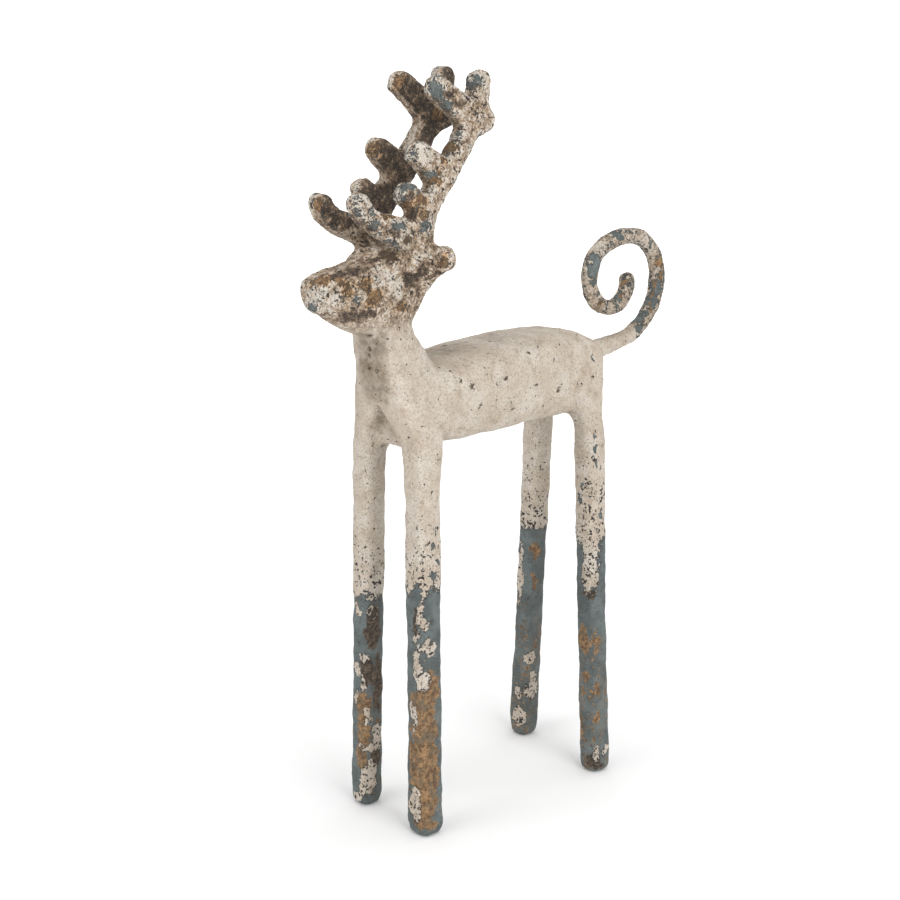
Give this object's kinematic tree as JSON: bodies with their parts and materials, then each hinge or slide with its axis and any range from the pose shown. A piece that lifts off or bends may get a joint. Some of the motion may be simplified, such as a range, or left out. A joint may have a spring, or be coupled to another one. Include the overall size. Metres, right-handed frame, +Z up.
{
  "type": "metal deer figurine",
  "caption": "Standing metal deer figurine with long straight legs, flat slab antlers and a scrolled tail, in worn cream, blue-grey and rust paint; stands by its own weight.",
  "frame": {"origin": "middle of the figure's bounding box, at the level of its soles", "axes": "+Z up; the deer looks along -Y; +X is its own left side"},
  "size_m": [0.0942, 0.3178, 0.4707],
  "materials": {
    "worn_paint": "matt, chipped cream over blue-grey and rust"
  },
  "bodies": {
    "root": {"deer": "worn_paint"}
  },
  "joints": []
}
